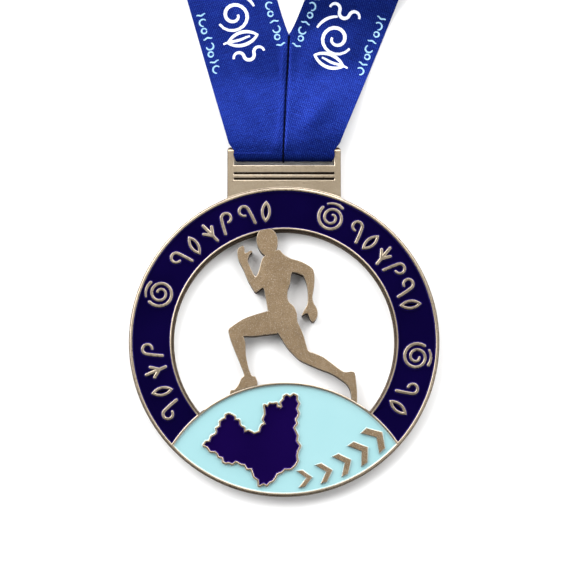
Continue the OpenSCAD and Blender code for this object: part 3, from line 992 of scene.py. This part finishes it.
# a dark cord sunk in the seam, in the shadow colour, paints the shade of the seam's gap; it follows the
# cloth from under the bar to the foot of the vee
def seamShadowCord(v, foot, reach):
    half = rv["thickness"] / 2
    overBar, upTail = v["cordSteps"]
    grow = 1 + (half + 0.02) / rv["turnRadius"]
    path = []
    for k in range(overBar):
        angle = math.radians(v["cordStart"] - (v["cordStart"] - rv["turnEnd"]) * k / overBar)
        path.append((foot.x, rv["barY"] + (rv["turnReach"] + half) * math.cos(angle),
                     rv["barZ"] + rv["turnRadius"] * grow * math.sin(angle)))
    for k in range(upTail + 1):
        p = foot + reach * (0.004 + v["cordPast"] * k / upTail)
        rise = v["cordRise"] * ease((p.y - drapeValues["seamFrom"]) / 2)
        path.append((p.x, p.y, tailHeight(-1, p.x, p.y) + half + rise))
    return cordMesh("seamShadowCord", path, v["cord"])


def makeSeamThreads(v):
    source = threadShape(v["seamLength"])
    foot = Vector(rv["seamFoot"])
    reach = Vector(rv["vee"]) - foot
    copies = []
    count = int((reach.length - 3) / v["seamPitch"])
    for k in range(count + 1):
        p = foot + reach * (v["seamFrom"] + v["seamPitch"] * k) / reach.length
        z = tailHeight(-1, p.x, p.y) + rv["thickness"] / 2 + 0.04
        tilt = math.atan(v["seamTilt"]) if p.y < v["tiltEnd"] else 0
        slant = math.radians(v["seamSlant"] if k % 2 == 0 else -v["seamSlant"])
        copies.append(copyThread(source, (p.x, p.y, z), (-tilt, 0, slant)))
    parts = [seamShadowCord(v, foot, reach)] + copies
    # the cord and the seam's threads take the shadow colour: painted shade in the gap of the seam
    for part in parts:
        useMaterials(part, plain["seamShadow"])
    return finishThreads("seamThreads", source, parts, "mitre_stitching")


def makeFlapThreads(v):
    source = threadShape(v["flapLength"])
    low = rv["barZ"] - rv["turnRadius"] - rv["thickness"] / 2
    y = rv["flapEnd"] - v["flapInset"]
    copies = []
    for k in range(-v["flapEach"], v["flapEach"] + 1):
        copies.append(copyThread(source, (k * v["flapPitch"], y, low + 0.06), (math.pi, 0, 0)))
        useMaterials(copies[-1], plain["seamThread"])
    return finishThreads("flapThreads", source, copies, "loop_stitching")


seamThreads = makeSeamThreads(threadValues)
flapThreads = makeFlapThreads(threadValues)
print("threads made")


# paper band: a closed strip with rounded folds round the hank and a glued overlap

bandValues = {
    "thickness": 0.12, "low": (-1.3, 87.72, 0.1), "high": (5.7, 108.28, 4.72), "round": 0.5,
    "crownFrom": 4.0, "crown": 0.05, "crownHalf": 10.3, "flapRows": (91.5, 94.0, 96.5, 99.0, 101.5),
    "flapThickness": 0.1, "flapLift": 0.12, "flapEndLift": 0.1,
}


def makeBand(v):
    low, high = v["low"], v["high"]
    deselectAll()
    bpy.ops.mesh.primitive_cube_add(size=1, location=[(a + b) / 2 * mm for a, b in zip(low, high)])
    obj = bpy.context.object
    obj.name = "paperBand"
    obj.scale = [(b - a) * mm for a, b in zip(low, high)]
    bpy.ops.object.transform_apply(location=True, rotation=True, scale=True)
    selectFaces(obj, lambda face: abs(face.normal.x) > 0.9)
    bpy.ops.mesh.delete(type="FACE")
    bpy.ops.mesh.select_mode(type="EDGE")
    bm = bmesh.from_edit_mesh(obj.data)
    for edge in bm.edges:
        edge.select_set(abs((edge.verts[0].co - edge.verts[1].co).normalized().x) > 0.9)
    bmesh.update_edit_mesh(obj.data)
    bpy.ops.mesh.bevel(offset=v["round"] * mm, segments=4, affect="EDGES")
    bpy.ops.mesh.select_all(action="SELECT")
    bpy.ops.mesh.subdivide(number_cuts=3)
    bpy.ops.object.mode_set(mode="OBJECT")
    middle = (low[1] + high[1]) / 2 * mm
    for p in obj.data.vertices:
        if p.co.z > v["crownFrom"] * mm:
            share = (p.co.y - middle) / (v["crownHalf"] * mm)
            p.co.z += v["crown"] * mm * math.cos(share * math.pi / 2)
    applyModifier(obj, "SOLIDIFY", thickness=v["thickness"] * mm, offset=-1)
    obj = joinPieces("paperBand", [obj, makeBandFlap(v)])
    useMaterials(obj, plain["bandPaper"])
    smoothShade(obj, 50)
    settle(obj, "ribbon", "paper_band", "hank_band")
    return obj


# the end of the band that is glued over its start
def makeBandFlap(v):
    points, faces = [], []
    last = len(v["flapRows"]) - 1
    for i, y in enumerate(v["flapRows"]):
        lift = v["flapEndLift"] if i in (0, last) else v["flapLift"]
        for x in (v["low"][0] + 0.1, v["high"][0] - 0.1):
            points.append((x, y, v["high"][2] + lift))
    for i in range(last):
        a = 2 * i
        faces.append((a, a + 1, a + 3, a + 2))
    obj = meshPiece("bandFlap", points, faces)
    applyModifier(obj, "SOLIDIFY", thickness=v["flapThickness"] * mm, offset=0)
    return obj


band = makeBand(bandValues)
print("band made")


# floor, world and lights

# the walls' strength falls from the horizon to overhead, and from the back to the front
stageValues = {"floorSize": 6, "floorDrop": 0.02, "horizon": 1.35, "overhead": 0.04, "back": 2.05,
               "front": 0.12, "upward": (0.55, 0.97), "backward": (-0.8, 0.8)}


def makeFloor(v):
    deselectAll()
    bpy.ops.mesh.primitive_plane_add(size=v["floorSize"], location=(0, 0, -v["floorDrop"] * mm))
    floor = bpy.context.object
    floor.name = "paleFloor"
    useMaterials(floor, plain["floorPaint"])


def makeWorld(v):
    world = bpy.data.worlds.new("softStudio")
    bpy.context.scene.world = world
    world.use_nodes = True
    tree = world.node_tree
    facing = node(tree, "SeparateXYZ", {0: node(tree, "TexCoord").outputs["Generated"]}).outputs
    level = spread(tree, facing["Z"], *v["upward"], v["horizon"], v["overhead"])
    share = spread(tree, facing["Y"], *v["backward"], v["front"], v["back"])
    tree.links.new(mathNode(tree, "MULTIPLY", level, share), tree.nodes["Background"].inputs["Strength"])
    tree.nodes["Background"].inputs["Color"].default_value = (1, 1, 1, 1)


# name, place in metres, side length, watts
lightValues = (
    ("keyBox", (-0.55, 0.42, 0.5), 0.7, 9.4),
    ("topBox", (0.35, 0.62, 0.5), 0.7, 6.0),
    ("fillBox", (0.6, -0.35, 0.55), 0.7, 1.7),
)


def makeLights():
    for name, place, size, power in lightValues:
        deselectAll()
        bpy.ops.object.light_add(type="AREA", location=place)
        lamp = bpy.context.object
        lamp.name = name
        lamp.data.shape = "SQUARE"
        lamp.data.size = size
        lamp.data.energy = power
        aim = Vector((0, 0.01, 0)) - Vector(place)
        lamp.rotation_euler = aim.to_track_quat("-Z", "Y").to_euler()


makeFloor(stageValues)
makeWorld(stageValues)
makeLights()
bpy.context.scene.view_settings.view_transform = "Standard"
deselectAll()
